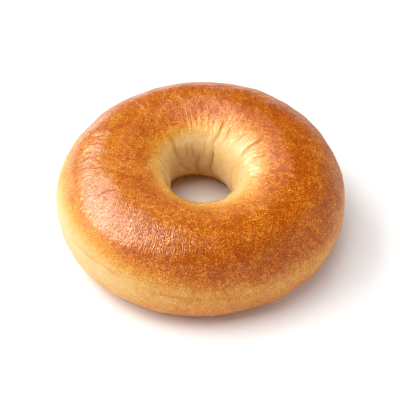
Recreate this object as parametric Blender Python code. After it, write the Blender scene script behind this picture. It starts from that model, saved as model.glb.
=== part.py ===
"""A plain bagel: one closed ring of boiled and baked dough, lying flat on its underside.

Metres, +Z up. The origin is on the surface that the bagel lies on, under the middle of the
ring. The ring's section is turned once round the Z axis, and then pushed about in code the
way a hand-rolled ring is: a little uneven in width and height, with an oval hole, folds
where the dough was pinched round the finger, and a seam along the outside.
"""

from collections import namedtuple
from math import atan2, cos, exp, hypot, pi, radians, sin, sqrt

import bmesh
import bpy
from mathutils import Matrix, Vector

# Driving dimensions.
OUTER_DIAMETER = 0.110
HEIGHT = 0.0363
HOLE_DIAMETER = 0.0264  # where the hole is narrowest, before it is made oval

# The section, as shares of those dimensions.
CREST_SHARE = 0.55  # the top of the ring, between the hole's wall (0) and the outside (1)
OUTER_WAIST_SHARE = 0.47  # the height of the widest place
HOLE_WAIST_SHARE = 0.645  # the height of the hole's narrowest place
SINK_SHARE = 0.07  # how much deeper the lower curves would go if the tray didn't stop them

# How square each quarter of the section is: 2 is an ellipse, and more is boxier.
TOP_OUTER_POWER = 2.0
TOP_HOLE_POWER = 2.0
LOW_OUTER_POWER = 2.35
LOW_HOLE_POWER = 2.35

# The mesh: points along each quarter of the section, across the foot, and round the ring.
TOP_OUTER_POINTS = 8
TOP_HOLE_POINTS = 9
LOW_OUTER_POINTS = 5
LOW_HOLE_POINTS = 5
FOOT_POINTS = 2
RING_STEPS = 120

# Slow unevenness: each wave is a share of the size, a count round the ring and a phase.
Wave = namedtuple("Wave", "share count phase_deg")
OUTER_WAVES = (Wave(-0.006, 2, -95), Wave(-0.0076, 3, 40))
HOLE_WAVES = (Wave(0.049, 1, 110), Wave(0.166, 2, 102), Wave(0.056, 3, -131))
HEIGHT_WAVES = (Wave(0.010, 1, -120), Wave(0.030, 2, 45))

# Folds in the hole's wall. A fold runs up the wall at its azimuth (0 is +X, 90 is +Y), leans
# by so many degrees from foot to crest, and fades out at a share of the way up.
Fold = namedtuple("Fold", "azimuth_deg lean_deg top depth width")
FOLDS = (
    Fold(118, 5, 0.78, 0.0005, 0.0018),
    Fold(94, -6, 0.48, 0.0004, 0.0018),
    Fold(78, -12, 0.90, 0.0005, 0.0018),
    Fold(43, -3, 0.93, 0.0003, 0.0020),
    Fold(10, 13, 1.00, 0.0008, 0.0020),
    Fold(-3, 7, 0.96, 0.0004, 0.0022),
    Fold(160, 4, 0.60, 0.0003, 0.0022),
    Fold(205, 6, 0.55, 0.0003, 0.0022),
    Fold(246, -5, 0.60, 0.0003, 0.0022),
    Fold(288, 8, 0.60, 0.0003, 0.0022),
    Fold(325, 5, 0.65, 0.0003, 0.0022),
)

# The seam where the rolled dough was closed. It runs round the outside, a little above the
# widest place, rises and falls, and is deepest at the front left.
SEAM_HEIGHT_SHARE = 0.545
SEAM_WAVES = (Wave(0.025, 1, -150), Wave(0.030, 3, -137))
SEAM_DEPTH = 0.0006
SEAM_HALF_WIDTH = 0.0010
SEAM_DEEPEST_DEG = -135
SEAM_SLIDE_REACH = 0.006  # how far above and below the seam the dough follows its rise and fall

OUTER_RADIUS = OUTER_DIAMETER / 2
HOLE_RADIUS = HOLE_DIAMETER / 2
CREST_RADIUS = HOLE_RADIUS + (OUTER_RADIUS - HOLE_RADIUS) * CREST_SHARE
OUTER_WAIST = HEIGHT * OUTER_WAIST_SHARE
HOLE_WAIST = HEIGHT * HOLE_WAIST_SHARE
SEAM_HEIGHT = HEIGHT * SEAM_HEIGHT_SHARE
OUTER_REACH = OUTER_RADIUS - CREST_RADIUS
HOLE_REACH = CREST_RADIUS - HOLE_RADIUS
TOP_RISE = HEIGHT - OUTER_WAIST


def clear_scene():
    """Removes whatever the file was opened with."""
    for obj in list(bpy.data.objects):
        bpy.data.objects.remove(obj)


def quarter_point(turn, reach, rise, power):
    """A point of a quarter superellipse: turn 0 is level with its centre, pi / 2 above it."""
    return reach * cos(turn) ** (2 / power), rise * sin(turn) ** (2 / power)


def quarter_turn_at(share, power):
    """The turn at which a quarter superellipse has risen to this share of its full rise."""
    level = share ** (power / 2)
    return atan2(level, sqrt(max(0.0, 1 - level * level)))


def low_curve(reach, waist, power, points):
    """The section from a waist down to the foot, as (reach beyond the crest, height)."""
    rise = waist * (1 + SINK_SHARE)
    last = quarter_turn_at(waist / rise, power)
    made = []
    for i in range(1, points + 1):
        across, below = quarter_point(last * i / points, reach, rise, power)
        made.append((across, max(0.0, waist - below)))
    return made


def top_curve(reach, waist, power, points):
    """The section from a waist up to just short of the crest."""
    rise = HEIGHT - waist
    made = []
    for i in range(points):
        across, above = quarter_point(pi / 2 * i / points, reach, rise, power)
        made.append((across, waist + above))
    return made


def with_seam_points(outer_top):
    """The upper outside with three more points, so that the seam has an edge, a bottom, an edge."""
    clear = 1.6 * SEAM_HALF_WIDTH
    seam = []
    for side in (-1, 0, 1):
        climb = SEAM_HEIGHT + side * SEAM_HALF_WIDTH - OUTER_WAIST
        turn = quarter_turn_at(climb / TOP_RISE, TOP_OUTER_POWER)
        across, above = quarter_point(turn, OUTER_REACH, TOP_RISE, TOP_OUTER_POWER)
        seam.append((across, OUTER_WAIST + above))
    below = [p for p in outer_top if p[1] < SEAM_HEIGHT - clear]
    above = [p for p in outer_top if p[1] > SEAM_HEIGHT + clear]
    return below + seam + above


def section():
    """The ring's section as (radius, height), from the crest outwards and round to the crest."""
    outer_top = top_curve(OUTER_REACH, OUTER_WAIST, TOP_OUTER_POWER, TOP_OUTER_POINTS)
    outer_low = low_curve(OUTER_REACH, OUTER_WAIST, LOW_OUTER_POWER, LOW_OUTER_POINTS)
    hole_top = top_curve(HOLE_REACH, HOLE_WAIST, TOP_HOLE_POWER, TOP_HOLE_POINTS)
    hole_low = low_curve(HOLE_REACH, HOLE_WAIST, LOW_HOLE_POWER, LOW_HOLE_POINTS)

    points = [(CREST_RADIUS, HEIGHT)]
    points += [(CREST_RADIUS + across, z) for across, z in reversed(with_seam_points(outer_top))]
    points += [(CREST_RADIUS + across, z) for across, z in outer_low]
    foot_out = points[-1][0]
    foot_in = CREST_RADIUS - hole_low[-1][0]
    for i in range(1, FOOT_POINTS + 1):
        points.append((foot_out + (foot_in - foot_out) * i / (FOOT_POINTS + 1), 0.0))
    points += [(CREST_RADIUS - across, z) for across, z in reversed(hole_low)]
    points += [(CREST_RADIUS - across, z) for across, z in hole_top]
    return points


def spun_ring(name):
    """The section turned once round Z, as a closed mesh of quads."""
    mesh = bpy.data.meshes.new(name)
    shape = bmesh.new()
    corners = [shape.verts.new((radius, 0.0, height)) for radius, height in section()]
    rim = [shape.edges.new(pair) for pair in zip(corners, corners[1:] + corners[:1])]
    bmesh.ops.spin(
        shape,
        geom=corners + rim,
        axis=(0, 0, 1),
        cent=(0, 0, 0),
        angle=2 * pi,
        steps=RING_STEPS,
        use_merge=True,
    )
    bmesh.ops.remove_doubles(shape, verts=shape.verts, dist=1e-6)
    bmesh.ops.recalc_face_normals(shape, faces=shape.faces)
    shape.to_mesh(mesh)
    shape.free()
    obj = bpy.data.objects.new(name, mesh)
    bpy.context.scene.collection.objects.link(obj)
    return obj


def wave_sum(waves, azimuth):
    """The unevenness at an azimuth, as a share of the size."""
    return sum(w.share * cos(w.count * (azimuth - radians(w.phase_deg))) for w in waves)


def slid_to_seam(point):
    """A point of the outside, slid along the section as the seam rises and falls."""
    radius = hypot(point.x, point.y)
    if radius <= CREST_RADIUS:
        return point
    azimuth = atan2(point.y, point.x)
    nearness = exp(-(((point.z - SEAM_HEIGHT) / SEAM_SLIDE_REACH) ** 2))
    height = point.z + HEIGHT * wave_sum(SEAM_WAVES, azimuth) * nearness
    radius += bulge_at(height) - bulge_at(point.z)
    return Vector((radius * cos(azimuth), radius * sin(azimuth), height))


def bulge_at(height):
    """How far the upper outside's round reaches beyond the crest at a height."""
    climb = (height - OUTER_WAIST) / TOP_RISE
    return OUTER_REACH * sqrt(max(0.0, 1 - climb * climb))


def uneven(point):
    """A point of the turned ring, moved as the hand-made ring differs from a true one."""
    azimuth = atan2(point.y, point.x)
    radius = hypot(point.x, point.y)
    if radius > CREST_RADIUS:
        edge = OUTER_RADIUS * (1 + wave_sum(OUTER_WAVES, azimuth))
        radius = CREST_RADIUS + (radius - CREST_RADIUS) * (edge - CREST_RADIUS) / OUTER_REACH
    else:
        edge = HOLE_RADIUS * (1 + wave_sum(HOLE_WAVES, azimuth))
        radius = CREST_RADIUS - (CREST_RADIUS - radius) * (CREST_RADIUS - edge) / HOLE_REACH
    height = point.z * (1 + wave_sum(HEIGHT_WAVES, azimuth))
    return Vector((radius * cos(azimuth), radius * sin(azimuth), height))


def smooth_step(low, high, value):
    """0 below low, 1 above high, and an S between them."""
    share = min(1.0, max(0.0, (value - low) / (high - low)))
    return share * share * (3 - 2 * share)


def fold_depth(point):
    """How deep the folds of the hole's wall are at a point: sharp along the fold, soft beside it."""
    radius = hypot(point.x, point.y)
    if radius >= CREST_RADIUS:
        return 0.0
    azimuth = atan2(point.y, point.x)
    climb = point.z / HEIGHT
    nearness = 1 - smooth_step(HOLE_RADIUS * 1.6, CREST_RADIUS, radius)
    off_foot = smooth_step(0.02, 0.20, climb)
    depth = 0.0
    for fold in FOLDS:
        line = radians(fold.azimuth_deg + fold.lean_deg * climb)
        turn = (azimuth - line + pi) % (2 * pi) - pi
        fade = 1 - smooth_step(fold.top * 0.7, fold.top * 1.15, climb)
        depth += fold.depth * exp(-abs(turn) * radius / fold.width) * fade
    return depth * nearness * off_foot


def seam_depth(point):
    """The seam's depth at a point of the turned ring."""
    if hypot(point.x, point.y) < CREST_RADIUS:
        return 0.0
    azimuth = atan2(point.y, point.x)
    strength = 0.45 + 0.55 * cos(azimuth - radians(SEAM_DEEPEST_DEG)) ** 3
    nearness = exp(-2.2 * abs(point.z - SEAM_HEIGHT) / SEAM_HALF_WIDTH)
    return SEAM_DEPTH * max(0.15, strength) * nearness


def shape_by_hand(obj):
    """Pushes the turned ring into the hand-made one. The foot stays flat at height 0."""
    mesh = obj.data
    normals = [vertex.normal.copy() for vertex in mesh.vertices]
    for vertex, normal in zip(mesh.vertices, normals):
        if vertex.co.z < 1e-6:
            vertex.co = uneven(vertex.co)
            continue
        push = fold_depth(vertex.co) + seam_depth(vertex.co)
        vertex.co = uneven(slid_to_seam(vertex.co)) - normal * push
    mesh.update()


def crust_material():
    """Golden crust with a soft shine."""
    material = bpy.data.materials.new("crust")
    material.use_nodes = True
    shader = material.node_tree.nodes["Principled BSDF"]
    shader.inputs["Base Color"].default_value = (0.58, 0.22, 0.03, 1.0)
    shader.inputs["Roughness"].default_value = 0.42
    shader.inputs["Metallic"].default_value = 0.0
    return material


def stand_on_origin(obj):
    """Centres the bagel's box over the origin, with its foot at height 0."""
    low = Vector(min(v.co[axis] for v in obj.data.vertices) for axis in range(3))
    high = Vector(max(v.co[axis] for v in obj.data.vertices) for axis in range(3))
    middle = (low + high) / 2
    obj.data.transform(Matrix.Translation((-middle.x, -middle.y, -low.z)))


def make_bagel():
    bagel = spun_ring("bagel")
    shape_by_hand(bagel)
    stand_on_origin(bagel)
    bagel.data.shade_smooth()
    bagel.data.materials.append(crust_material())
    return bagel


clear_scene()
make_bagel()
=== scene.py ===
# %% [markdown]
# # A plain bagel
# The real thing is a ring of dough that was rolled, closed round the fingers, boiled and baked.
# The boiling sets a tight shiny skin, and the oven browns what faces up. This lesson models the
# ring, presses its folds and its seam into it, roughs up the skin, and then gives it a crust
# made of nodes. The imported CAD model comes in first, and the ring's size and shape are read from
# it.

# %% Load the frame
from math import atan2, cos, degrees, exp, hypot, radians, sin
from time import time

import bpy
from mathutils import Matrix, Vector, noise
from mathutils.bvhtree import BVHTree
from mathutils.kdtree import KDTree


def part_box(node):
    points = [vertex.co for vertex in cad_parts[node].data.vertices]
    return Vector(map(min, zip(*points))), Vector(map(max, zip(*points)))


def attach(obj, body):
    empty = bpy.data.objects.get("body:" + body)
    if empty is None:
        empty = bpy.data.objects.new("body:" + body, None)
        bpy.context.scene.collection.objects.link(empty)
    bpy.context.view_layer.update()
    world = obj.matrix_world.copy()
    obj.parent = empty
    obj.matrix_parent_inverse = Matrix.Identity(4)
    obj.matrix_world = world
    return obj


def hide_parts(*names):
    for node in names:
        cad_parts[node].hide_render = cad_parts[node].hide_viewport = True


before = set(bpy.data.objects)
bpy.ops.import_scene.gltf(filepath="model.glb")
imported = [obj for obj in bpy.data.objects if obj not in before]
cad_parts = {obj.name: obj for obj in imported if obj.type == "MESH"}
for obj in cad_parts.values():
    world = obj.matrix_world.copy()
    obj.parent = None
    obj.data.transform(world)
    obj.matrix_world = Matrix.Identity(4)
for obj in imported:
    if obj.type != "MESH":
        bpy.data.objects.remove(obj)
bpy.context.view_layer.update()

low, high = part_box("bagel")
height = high.z
middle = height / 2
print("the bagel is %.1f x %.1f x %.1f mm" % tuple((high - low) * 1000))

# %% [markdown]
# ## Floor, light and camera
# A studio floor is a big pale sheet, so large that its edge never shows. The main soft box
# stands to the left. A second, weak one on the right keeps the shadow side alive, and a panel
# overhead lights the floor of the hole. The shine on the left shoulder and on the far slope of
# the hole is set apart from all of these: it comes from a card that only reflections see.


# %% Helpers for light and camera
def toward(azimuth_deg, rise_deg, distance, target):
    """The point that lies in this direction and at this distance from the target."""
    flat = cos(radians(rise_deg)) * distance
    return target + Vector((
        flat * cos(radians(azimuth_deg)),
        flat * sin(radians(azimuth_deg)),
        sin(radians(rise_deg)) * distance,
    ))


def look_at(obj, target):
    obj.rotation_euler = (target - obj.location).to_track_quat("-Z", "Y").to_euler()


def soft_box(name, azimuth_deg, rise_deg, distance, width, tall, watts):
    """A rectangular lamp that faces the bagel."""
    target = Vector((0.0, 0.0, middle))
    bpy.ops.object.light_add(type="AREA", location=toward(azimuth_deg, rise_deg, distance, target))
    lamp = bpy.context.object
    lamp.name = name
    lamp.data.shape = "RECTANGLE"
    lamp.data.size = width
    lamp.data.size_y = tall
    lamp.data.energy = watts
    look_at(lamp, target)
    return lamp


# %% Floor
bpy.ops.object.select_all(action="DESELECT")
bpy.ops.mesh.primitive_plane_add(size=6.0, location=(0.0, 0.0, 0.0))
floor = bpy.context.object
floor.name = "floor"
floor_paper = bpy.data.materials.new("floor_paper")
floor_paper.use_nodes = True
paper = floor_paper.node_tree.nodes["Principled BSDF"]
paper.inputs["Base Color"].default_value = (0.95, 0.95, 0.95, 1.0)
paper.inputs["Roughness"].default_value = 0.9
paper.inputs["Specular IOR Level"].default_value = 0.2
floor.data.materials.append(floor_paper)

# %% [markdown]
# The room is bright low down and dark overhead, and darker behind the bagel than in front of it.
# A skin as tight as this mirrors what is above it, so a white ceiling would lay a grey haze on
# the brown crest. A big soft panel overhead gives the light that the ceiling would have given.
# The key, the fill and the panel are hidden from reflections and the card lights nothing, which
# no real studio can do. It lets the shine be set without changing the light on the crust.

# %% World
world = bpy.data.worlds.new("white_room")
world.use_nodes = True
room = world.node_tree
direction = room.nodes.new("ShaderNodeTexCoord")
split = room.nodes.new("ShaderNodeSeparateXYZ")


def fading(axis, first, last, strength_first, strength_last):
    """A strength that goes from one value to another along one axis of the view direction."""
    node = room.nodes.new("ShaderNodeMapRange")
    node.inputs["From Min"].default_value = first
    node.inputs["From Max"].default_value = last
    node.inputs["To Min"].default_value = strength_first
    node.inputs["To Max"].default_value = strength_last
    room.links.new(split.outputs[axis], node.inputs["Value"])
    return node.outputs["Result"]


room.links.new(direction.outputs["Generated"], split.inputs["Vector"])
overhead = fading("Z", 0.15, 0.60, 0.84, 0.03)
behind = fading("Y", -0.6, 0.8, 1.0, 0.35)
both = room.nodes.new("ShaderNodeMath")
both.operation = "MULTIPLY"
room.links.new(overhead, both.inputs[0])
room.links.new(behind, both.inputs[1])
room.links.new(both.outputs["Value"], room.nodes["Background"].inputs["Strength"])
room.nodes["Background"].inputs["Color"].default_value = (1.0, 1.0, 1.0, 1.0)
bpy.context.scene.world = world
bpy.context.scene.view_settings.view_transform = "Standard"
bpy.context.scene.view_settings.look = "None"

# %% Lamps
key = soft_box("key_soft_box", 168, 47, 0.90, 1.25, 0.38, 9.1)
key.visible_glossy = False
shine_card = soft_box("shine_card", 159, 46, 0.90, 1.12, 0.50, 17.5)
shine_card.visible_diffuse = False
shine_card.data.color = (1.0, 0.95, 0.86)
fill = soft_box("fill_soft_box", -5, 34, 0.70, 0.44, 0.44, 1.05)
fill.visible_glossy = False
panel = soft_box("top_panel", 200, 80, 1.20, 1.00, 1.00, 11.0)
panel.visible_glossy = False
lamps = (key, shine_card, fill, panel)
print("lamps:", ", ".join("%s %.1f W" % (o.name, o.data.energy) for o in lamps))

# %% Camera
camera_data = bpy.data.cameras.new("camera")
camera_data.sensor_width = 36.0
camera_data.lens = 103.0
camera = bpy.data.objects.new("camera", camera_data)
bpy.context.scene.collection.objects.link(camera)
camera.location = toward(-90, 46.2, 0.44, Vector((0.0, 0.0, 0.0182)))
look_at(camera, Vector((-0.0003, -0.0029, 0.0154)))
bpy.context.scene.camera = camera
print("camera at", tuple(round(v, 3) for v in camera.location))

# %% [markdown]
# ## The ring
# A torus is the natural start, but a bagel isn't a torus: it is flat below, its crest is broad,
# and its hole is oval. The torus is squashed to the bagel's height in edit mode, its underside
# is flattened, and a Shrinkwrap modifier then lays it on a merged copy of the CAD solid, so that
# the size is right to a tenth of a millimetre. Smoothing takes out the facets it picked up.

# %% The torus, squashed and flattened
RING_STEPS = 150
SECTION_STEPS = 40
crest_radius = 0.0362
outer_radius = (high.x - low.x) / 2

bpy.ops.object.select_all(action="DESELECT")
bpy.ops.mesh.primitive_torus_add(
    location=(0.0, 0.0, middle),
    major_segments=RING_STEPS,
    minor_segments=SECTION_STEPS,
    major_radius=crest_radius,
    minor_radius=outer_radius - crest_radius,
)
bagel = bpy.context.object
bagel.name = "bagel_crust"
bagel.data.name = "bagel_crust"
bpy.ops.object.transform_apply(location=True, rotation=True, scale=True)


def select_points(obj, wanted):
    """Selects the points for which wanted(place) is true, and leaves the object in edit mode."""
    bpy.ops.object.mode_set(mode="OBJECT")
    for part in (obj.data.polygons, obj.data.edges):
        part.foreach_set("select", [False] * len(part))
    picked = [bool(wanted(v.co)) for v in obj.data.vertices]
    obj.data.vertices.foreach_set("select", picked)
    bpy.ops.object.mode_set(mode="EDIT")
    bpy.ops.mesh.select_mode(type="VERT")
    return sum(picked)


select_points(bagel, lambda co: True)
bpy.ops.transform.resize(
    value=(1.0, 1.0, middle / (outer_radius - crest_radius)),
    center_override=(0.0, 0.0, middle),
)
picked = select_points(bagel, lambda co: co.z < 0.1 * height)
bpy.ops.transform.resize(value=(1.0, 1.0, 0.0), center_override=(0.0, 0.0, 0.0))
bpy.ops.object.mode_set(mode="OBJECT")
print("flattened", picked, "points of the underside")

# %% The torus laid on the solid
bpy.ops.object.select_all(action="DESELECT")
solid_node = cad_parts["bagel"]
solid_node.select_set(True)
bpy.context.view_layer.objects.active = solid_node
bpy.ops.object.duplicate()
guide = bpy.context.object
guide.name = "guide"
bpy.ops.object.mode_set(mode="EDIT")
bpy.ops.mesh.select_all(action="SELECT")
bpy.ops.mesh.remove_doubles(threshold=1e-6)
bpy.ops.object.mode_set(mode="OBJECT")


def apply_modifier(obj, kind, name, **settings):
    """Adds a modifier with these settings and applies it at once."""
    bpy.ops.object.select_all(action="DESELECT")
    obj.select_set(True)
    bpy.context.view_layer.objects.active = obj
    modifier = obj.modifiers.new(name, kind)
    for key_name, value in settings.items():
        setattr(modifier, key_name, value)
    bpy.ops.object.modifier_apply(modifier=name)


apply_modifier(bagel, "SUBSURF", "finer", levels=1, render_levels=1)
apply_modifier(bagel, "SHRINKWRAP", "to_solid", target=guide, wrap_method="NEAREST_SURFACEPOINT")
bpy.data.objects.remove(guide)


def smooth_all(obj, times):
    select_points(obj, lambda co: True)
    bpy.ops.mesh.vertices_smooth(factor=0.5, repeat=times)
    bpy.ops.object.mode_set(mode="OBJECT")


smooth_all(bagel, 5)
print("the ring has", len(bagel.data.polygons), "faces")

# %% [markdown]
# ## Places on a ring
# A bagel has its own map: how far round the ring a place is (the azimuth, 0 at +X and 90 at
# +Y), and how far round the section (0 outside, 90 on top, 180 in the hole, -90 below). All that
# follows is placed with these two angles. Distances on the skin come from them in millimetres.


# %% A place's two angles, and back
def ring_angles(co):
    """(azimuth, section angle) in degrees. The section angle runs from -90 below to 270."""
    azimuth = degrees(atan2(co.y, co.x))
    section = degrees(atan2(co.z - middle, hypot(co.x, co.y) - crest_radius))
    return azimuth, section if section > -90 else section + 360


def turn_between(a, b):
    """The shortest turn from azimuth b to azimuth a, in degrees."""
    return (a - b + 180) % 360 - 180


def skin_of(obj):
    """The skin as a tree that rays can be cast at. It is built once, and is good for many rays."""
    mesh = obj.data
    return BVHTree.FromPolygons([v.co for v in mesh.vertices], [p.vertices for p in mesh.polygons])


def place_on_skin(skin_tree, azimuth, section):
    """The point of the skin at these two angles: a ray sent out from the middle of the dough."""
    outward = Vector((cos(radians(azimuth)), sin(radians(azimuth)), 0.0))
    core = outward * crest_radius + Vector((0.0, 0.0, middle))
    ray = outward * cos(radians(section)) + Vector((0.0, 0.0, sin(radians(section))))
    return skin_tree.ray_cast(core, ray)[0]


def step(first, last, value):
    """0 up to first, 1 from last on, and an S between them."""
    share = min(1.0, max(0.0, (value - first) / (last - first)))
    return share * share * (3 - 2 * share)


bare_skin = skin_of(bagel)
print("the crest at the front is", place_on_skin(bare_skin, -90, 90))

# %% [markdown]
# ## Folds in the hole and the seam outside
# Where the dough was pinched round the finger, it folded, and the boiling set the folds. By hand
# they are pulled in with proportional editing: a line of points is picked, and everything near
# it follows with a sharp falloff. A fold is deepest in the middle of its length, so it is pulled
# in three times, each time with a shorter line. The dough beside a fold swells a little first.

# %% Where the folds, the seam and the small cracks run
# Each line: name, depth in mm, how wide its slope is in mm, how dark, and its places as azimuth
# and section angle. The places of the far, rim, right and petal folds, of the wrinkles a and b,
# of the cracks and of the seam up to seam_right came out of another program, and some were then
# moved. The other places are guesses.
# The dark value is painted shade: the crust is darkened along each fold, seam and crack.
LINES = (
    ("fold_far_left", 0.75, 1.9, 0.6, ((126, 134), (124, 140), (125, 161), (122, 174), (120, 184))),
    ("fold_petal", 0.70, 1.8, 0.5, ((120, 182), (113, 194), (107, 201), (100, 206))),
    ("fold_far", 0.60, 1.7, 0.4, ((89, 172), (92, 181), (96, 189), (94, 201), (93, 220))),
    ("fold_far_right", 0.80, 1.9, 0.4, ((71, 155), (70, 168), (72, 181), (78, 194), (75, 212))),
    ("fold_rim_a", 0.40, 1.5, 0.5, ((73, 156), (68, 148), (67, 137), (67, 130))),
    ("fold_rim_b", 0.28, 1.3, 0.45, ((57, 148), (55, 136))),
    ("fold_rim_c", 0.26, 1.3, 0.4, ((41, 147), (37, 128))),
    ("fold_right", 0.42, 1.1, 0.9, ((17, 153), (19, 149), (23, 139), (22, 131), (25, 116))),
    ("fold_right_low", 0.35, 1.6, 0.4, ((3, 145), (5, 135), (5, 124))),
    ("wrinkle_wall_a", 0.16, 1.0, 0.3, ((109, 156), (108, 182))),
    ("wrinkle_wall_b", 0.16, 1.0, 0.3, ((101, 160), (100, 180))),
    ("wrinkle_wall_c", 0.14, 1.0, 0.25, ((84, 150), (84, 186))),
    ("wrinkle_rim_a", 0.16, 1.0, 0.2, ((89, 122), (85, 134))),
    ("wrinkle_rim_b", 0.16, 1.0, 0.2, ((96, 122), (93, 138))),
    ("wrinkle_rim_c", 0.16, 1.0, 0.2, ((78, 126), (76, 146))),
    ("fold_near_a", 0.40, 1.8, 0.5, ((162, 156), (165, 200))),
    ("fold_near_b", 0.35, 1.8, 0.5, ((-155, 160), (-160, 205))),
    ("fold_near_c", 0.40, 1.8, 0.5, ((-112, 158), (-108, 204))),
    ("fold_near_d", 0.35, 1.8, 0.5, ((-72, 162), (-76, 206))),
    ("fold_near_e", 0.40, 1.8, 0.5, ((-35, 158), (-30, 204))),
    ("crack_a", 0.18, 0.7, 0.8, ((-152, 69), (-151, 83), (-149, 94))),
    ("crack_b", 0.14, 0.7, 0.8, ((-149, 77), (-143, 77))),
    ("seam_left", 0.30, 1.1, 0.55, ((-151, 9), (-142, 11), (-134, 12), (-127, 12), (-117, 8))),
    ("seam_front", 0.22, 1.4, 0.5, ((-114, 8), (-106, 4), (-97, 1), (-88, 0), (-78, -2))),
    ("seam_right", 0.30, 2.6, 0.15, ((-80, -1), (-67, 1), (-54, 5), (-40, 5), (-20, 3))),
    ("seam_back_right", 0.20, 2.0, 0.2, ((-16, 4), (10, 6), (40, 4), (75, 7))),
    ("seam_back_left", 0.20, 2.0, 0.2, ((85, 6), (120, 4), (160, 7), (190, 10), (203, 10))),
)


def line_places(skin_tree, places, share=1.0, spacing=0.0004):
    """Points of the skin along the middle share of a line of places, closely spaced."""
    made = []
    for a, b in zip(places, places[1:]):
        length = (place_on_skin(skin_tree, *a) - place_on_skin(skin_tree, *b)).length
        count = max(2, int(length / spacing))
        made += [
            place_on_skin(skin_tree, *(p + (q - p) * i / count for p, q in zip(a, b)))
            for i in range(count)
        ]
    skip = int(len(made) * (1 - share) / 2)
    return made[skip:len(made) - skip]


# %% Pull a line of points in or out
def pull(obj, tree, places, amount, size, falloff):
    """Moves the points nearest to these places in (or out), and what is near them follows."""
    picked = [False] * len(obj.data.vertices)
    for place in places:
        picked[tree.find(place)[1]] = True
    for part in (obj.data.polygons, obj.data.edges):
        part.foreach_set("select", [False] * len(part))
    obj.data.vertices.foreach_set("select", picked)
    bpy.ops.object.mode_set(mode="EDIT")
    bpy.ops.mesh.select_mode(type="VERT")
    bpy.ops.transform.shrink_fatten(
        value=amount,
        use_proportional_edit=True,
        proportional_edit_falloff=falloff,
        proportional_size=size,
    )
    bpy.ops.object.mode_set(mode="OBJECT")


def point_tree(points):
    tree = KDTree(len(points))
    for i, point in enumerate(points):
        tree.insert(point, i)
    tree.balance()
    return tree


# %% Press in every line
started = time()
tree = point_tree([v.co for v in bagel.data.vertices])
for name, depth, width, dark, places in LINES:
    depth_m, width_m = depth / 1000, width / 1000
    whole = line_places(bare_skin, places)
    pull(bagel, tree, whole, 0.25 * depth_m, 2.4 * width_m, "SMOOTH")
    for share in (1.0, 0.75, 0.45):
        pull(bagel, tree, line_places(bare_skin, places, share), -0.42 * depth_m, width_m, "SHARP")
print("pressed in", len(LINES), "lines in %.1f s" % (time() - started))

# %% [markdown]
# ## The boiled skin
# Boiling tightens the skin into fine radial wrinkles where it was stretched, on the front left
# shoulder and in the funnel of the hole. Between them it is pebbled. Slow swellings and the
# pebbles are Displace modifiers with cloud textures. Wrinkles have to fan out round the ring,
# which a cloud texture can't do, so they are worked out point by point with noise that is
# long along the section and short round the ring.

# %% Swellings and pebbles
apply_modifier(bagel, "SUBSURF", "finest", levels=1, render_levels=1)


def cloud(name, size, depth):
    texture = bpy.data.textures.new(name, "CLOUDS")
    texture.noise_scale = size
    texture.noise_depth = depth
    return texture


# Each relief: name, size of its clouds and height in metres, and how many finer layers it has.
for name, size, strength, depth in (
    ("swellings", 0.014, 0.0011, 1),
    ("pebbles", 0.0017, 0.00026, 2),
):
    relief_texture = cloud(name, size, depth)
    apply_modifier(
        bagel, "DISPLACE", name, texture=relief_texture, strength=strength, mid_level=0.5
    )

# %% Radial wrinkles
# Each patch: azimuth, section angle, how far it reaches in both, and the strength.
WRINKLED = (
    (-110, 66, 34, 30, 1.0),
    (-155, 72, 34, 30, 0.6),
    (60, 138, 48, 26, 0.9),
    (96, 130, 26, 24, 0.9),
    (10, 132, 30, 26, 0.5),
    (150, 138, 40, 26, 0.25),
    (-70, 60, 40, 30, 0.2),
)


def wrinkledness(azimuth, section):
    """How strongly the skin is wrinkled at a place, from 0 to 1."""
    total = 0.1
    for at_azimuth, at_section, reach_azimuth, reach_section, strength in WRINKLED:
        far = (turn_between(azimuth, at_azimuth) / reach_azimuth) ** 2
        far += ((section - at_section) / reach_section) ** 2
        total += strength * exp(-1.4 * far)
    return min(1.0, total)


def streak_place(azimuth, section, radius):
    """A place stretched so that noise on it gives long narrow streaks along the section."""
    finer = 22.0 + 10.0 * step(0.030, 0.045, radius)
    return Vector((cos(radians(azimuth)) * finer, sin(radians(azimuth)) * finer, section / 30.0))


WRINKLE_HEIGHT = 0.00013
started = time()
moved = []
for v in bagel.data.vertices:
    azimuth, section = ring_angles(v.co)
    place = streak_place(azimuth, section, hypot(v.co.x, v.co.y))
    streak = noise.noise(place) + 0.5 * noise.noise(place * 2.1)
    moved.extend(v.co + v.normal * (streak * WRINKLE_HEIGHT * wrinkledness(azimuth, section)))
bagel.data.vertices.foreach_set("co", moved)
bagel.data.update()
print("wrinkled the skin in %.1f s" % (time() - started))

# %% Keep the foot flat
FOOT_DEPTH = 0.00012  # what lies lower than this is laid on the floor
sunk = select_points(bagel, lambda co: co.z < FOOT_DEPTH)
bpy.ops.transform.resize(value=(1.0, 1.0, 0.0), center_override=(0.0, 0.0, 0.0))
bpy.ops.object.mode_set(mode="OBJECT")
bagel.data.shade_smooth()
print("laid", sunk, "points flat;", len(bagel.data.polygons) * 2, "triangles")
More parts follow.
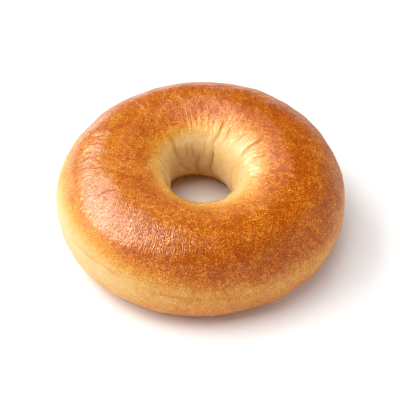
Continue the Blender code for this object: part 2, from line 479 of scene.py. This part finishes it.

# %% [markdown]
# ## What the crust's nodes need to know
# The oven browns what faces up and leaves the side and the hole's wall pale, and no texture
# knows where that is. So slow fields are painted on the mesh as attributes: how browned each
# point is, with painted light and shade mixed in, how much painted shade the nearest fold, seam
# or crack lays on it, how glossy it is, how strongly it is streaked, and a map that the streaks
# follow. The nodes then break them up with noise far finer than the mesh.


# %% How browned a place is, with painted light and shade
def browning_and_painted_light_at(azimuth, section):
    """0 is pale dough, 1 is the darkest crust; painted light and shade are mixed in."""
    # The left side, where the key light falls, is paler: partly less browning and partly painted
    # light.
    from_pale_lit_side = step(20, 80, abs(turn_between(azimuth, -165)))
    outer = 18 + 11 * cos(radians(azimuth + 155)) + 6 * cos(radians(2 * (azimuth + 155)))
    inner = 134.5 + 8.5 * cos(radians(azimuth - 172))
    inner += 5 * exp(-((turn_between(azimuth, -12) / 38) ** 2))
    inner_slope = 22 - 6 * exp(-((turn_between(azimuth, 175) / 50) ** 2))
    slope = 29 - 14 * from_pale_lit_side
    top = step(outer - slope, outer + slope, section)
    top *= 1 - step(inner - inner_slope, inner + inner_slope, section)
    # The lower side grows darker towards the foot: partly toasting and partly painted shade.
    pale = 0.10 + 0.37 * from_pale_lit_side + 0.22 * (1 - step(-45, -2, section))
    if section > 90:
        pale = 0.13 + 0.01 * step(60, 110, abs(turn_between(azimuth, 20)))
        # Lower in the hole the colour grows darker towards the foot.
        pale += 0.35 * step(188, 225, section)
    # The crest on the left, where the key light falls, is lighter: partly lighter baking and partly
    # painted light.
    left = exp(-((turn_between(azimuth, 175) / 55) ** 2))
    dark = 0.80 - 0.12 * left * (1 - step(85, 128, section))
    # Partly browning and partly painted light and shade: the crest is lighter towards the hole at
    # the front right, darker on the front outer slope, and darker on the right.
    dark -= 0.11 * exp(-((turn_between(azimuth, -45) / 62) ** 2)) * step(88, 108, section)
    dark += 0.11 * exp(-((turn_between(azimuth, -78) / 55) ** 2 + ((section - 42) / 26) ** 2))
    dark += 0.10 * exp(-((turn_between(azimuth, 15) / 60) ** 2)) * step(60, 80, section)
    under = max(1 - step(-62, -38, section), step(228, 262, section))
    return pale + (dark - pale) * top + (0.55 - pale) * under


def shine_at(azimuth, section):
    """1 on the tight, glossy top, 0 on the dull side and deep in the hole."""
    dull = 26 * exp(-((turn_between(azimuth, 60) / 75) ** 2))
    shine = step(22 + dull, 62 + dull, section) * (1 - step(146, 176, section))
    return shine * (1 - 0.8 * step(88, 112, section) * (1 - step(122, 142, section)))


# %% Paint the fields
SHADE_REACH = 0.00042  # how far from its line a fold still darkens the crust, in metres
started = time()
baked_skin = skin_of(bagel)
# Painted shade: each line darkens the crust beside it by its dark value, fading towards its ends.
line_points, line_painted_shades = [], []
for name, depth, width, dark, places in LINES:
    points = line_places(baked_skin, places, 1.0, 0.00025)
    for i, point in enumerate(points):
        ends = min(i, len(points) - 1 - i) / (0.25 * len(points))
        line_points.append(point)
        line_painted_shades.append(dark * min(1.0, ends))
line_tree = point_tree(line_points)

for name in ("browning_and_painted_light", "crease_painted_shade", "streaks", "shine"):
    bagel.data.attributes.new(name, "FLOAT", "POINT")
bagel.data.attributes.new("streak_map", "FLOAT_VECTOR", "POINT")
fields = bagel.data.attributes
browning_and_painted_light, crease_painted_shade, streaks = (fields[n].data for n in ("browning_and_painted_light", "crease_painted_shade", "streaks"))
shine = fields["shine"].data
streak_map = fields["streak_map"].data
for i, v in enumerate(bagel.data.vertices):
    azimuth, section = ring_angles(v.co)
    browning_and_painted_light[i].value = browning_and_painted_light_at(azimuth, section)
    streaks[i].value = wrinkledness(azimuth, section)
    shine[i].value = shine_at(azimuth, section)
    streak_map[i].vector = streak_place(azimuth, section, hypot(v.co.x, v.co.y))
    near = line_tree.find(v.co)
    crease_painted_shade[i].value = line_painted_shades[near[1]] * exp(-((near[2] / SHADE_REACH) ** 2))
print("painted", len(browning_and_painted_light), "points in %.1f s" % (time() - started))

# %% [markdown]
# ## The crust
# A crust is one skin, so it is one shader. Its colour runs along a ramp from cream through gold
# to brown, and the browning field, with its painted light and shade, plus three sizes of noise say
# where on the ramp each spot is. Painted shade along the folds, the seam and the cracks moves the
# colour down the ramp and darkens it. The noise shifts the ramp and not the colour, because a real
# crust's blotches are more or less baked, and never greyer. The relief finer than the mesh is a
# bump: grain and fine streaks. The sparkle is a clear coat broken into specks, because a bump
# strong enough to sparkle takes the shine away.

# %% Node helpers
crust = bpy.data.materials.new("crust")
crust.use_nodes = True
nodes, links = crust.node_tree.nodes, crust.node_tree.links
skin = nodes["Principled BSDF"]
coords = nodes.new("ShaderNodeTexCoord")


def math(operation, a, b=None, clamp=False):
    """A Math node; a and b are numbers or sockets."""
    node = nodes.new("ShaderNodeMath")
    node.operation = operation
    node.use_clamp = clamp
    for socket, value in zip(node.inputs, (a, b)):
        if value is None:
            continue
        if isinstance(value, (int, float)):
            socket.default_value = value
        else:
            links.new(value, socket)
    return node.outputs[0]


def noise_of(scale, detail, vector=None, roughness=0.5):
    """Noise around 0, about 0.2 each way."""
    node = nodes.new("ShaderNodeTexNoise")
    node.inputs["Scale"].default_value = scale
    node.inputs["Detail"].default_value = detail
    node.inputs["Roughness"].default_value = roughness
    links.new(vector or coords.outputs["Object"], node.inputs["Vector"])
    return math("SUBTRACT", node.outputs["Fac"], 0.5)


def field(name, output="Fac"):
    node = nodes.new("ShaderNodeAttribute")
    node.attribute_name = name
    return node.outputs[output]


# %% Colour
BAKED = (
    (0.00, (0.80, 0.60, 0.33)),
    (0.14, (0.78, 0.50, 0.19)),
    (0.30, (0.72, 0.37, 0.075)),
    (0.48, (0.65, 0.25, 0.018)),
    (0.64, (0.57, 0.155, 0.006)),
    (0.80, (0.46, 0.098, 0.003)),
    (1.00, (0.31, 0.052, 0.002)),
)
# This field is browning with painted light and shade mixed in.
browning_and_light = field("browning_and_painted_light")
blotches = math("MULTIPLY", noise_of(150, 3), 0.55)
patches = math("MULTIPLY", noise_of(520, 3), 0.75)
freckles = math("MULTIPLY", noise_of(2300, 1), 2.0)
uneven = math("ADD", math("ADD", blotches, patches), freckles)
room_to_vary = math("ADD", math("MULTIPLY", browning_and_light, 1.05), 0.05)
# Painted shade along the folds, the seam and the cracks moves the colour down the ramp.
crease_shade_and_dip = field("crease_painted_shade")
level = math("ADD", browning_and_light, math("MULTIPLY", crease_shade_and_dip, 0.22))
level = math("ADD", level, math("MULTIPLY", uneven, room_to_vary), clamp=True)
ramp = nodes.new("ShaderNodeValToRGB")
stops = ramp.color_ramp.elements
while len(stops) < len(BAKED):
    stops.new(0.5)
for i, (at, colour) in enumerate(BAKED):
    stops[i].position = at
    stops[i].color = (*colour, 1.0)
links.new(level, ramp.inputs["Fac"])
# Painted shade: along folds, seam and cracks the colour is also multiplied darker and browner.
painted_fold_shade = nodes.new("ShaderNodeMix")
painted_fold_shade.data_type = "RGBA"
painted_fold_shade.blend_type = "MULTIPLY"
painted_fold_shade.inputs["B"].default_value = (0.86, 0.70, 0.50, 1.0)
links.new(crease_shade_and_dip, painted_fold_shade.inputs["Factor"])
links.new(ramp.outputs["Color"], painted_fold_shade.inputs["A"])
links.new(painted_fold_shade.outputs["Result"], skin.inputs["Base Color"])

# %% Shine and fine relief
glossy = field("shine")
rough = math("ADD", math("MULTIPLY", glossy, -0.30), 0.52)
rough = math("ADD", rough, math("MULTIPLY", noise_of(700, 2), 0.20))
links.new(rough, skin.inputs["Roughness"])
skin.inputs["Specular IOR Level"].default_value = 0.38
specks = math("ADD", math("MULTIPLY", noise_of(1500, 1), 7.0), 0.5, clamp=True)
coat = math("MULTIPLY", math("MULTIPLY", glossy, specks), 1.5)
links.new(math("ADD", coat, 0.04, clamp=True), skin.inputs["Coat Weight"])
skin.inputs["Coat Roughness"].default_value = 0.14

coarseness = math("ADD", math("MULTIPLY", field("streaks"), 0.07), 0.06)
grain = math("MULTIPLY", noise_of(2300, 2), coarseness)
fine_streak = noise_of(2.6, 2, field("streak_map", "Vector"))
fine_streak = math("MULTIPLY", math("MULTIPLY", fine_streak, field("streaks")), 0.30)
relief = math("ADD", grain, fine_streak)
relief = math("SUBTRACT", relief, math("MULTIPLY", crease_shade_and_dip, 0.15))
bump = nodes.new("ShaderNodeBump")
bump.inputs["Distance"].default_value = 0.001
links.new(relief, bump.inputs["Height"])
links.new(bump.outputs["Normal"], skin.inputs["Normal"])
links.new(bump.outputs["Normal"], skin.inputs["Coat Normal"])
bagel.data.materials.clear()
bagel.data.materials.append(crust)
print("the crust has", len(nodes), "nodes")

# %% Ride, stand for the solid and finish
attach(bagel, "root")
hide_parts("bagel")
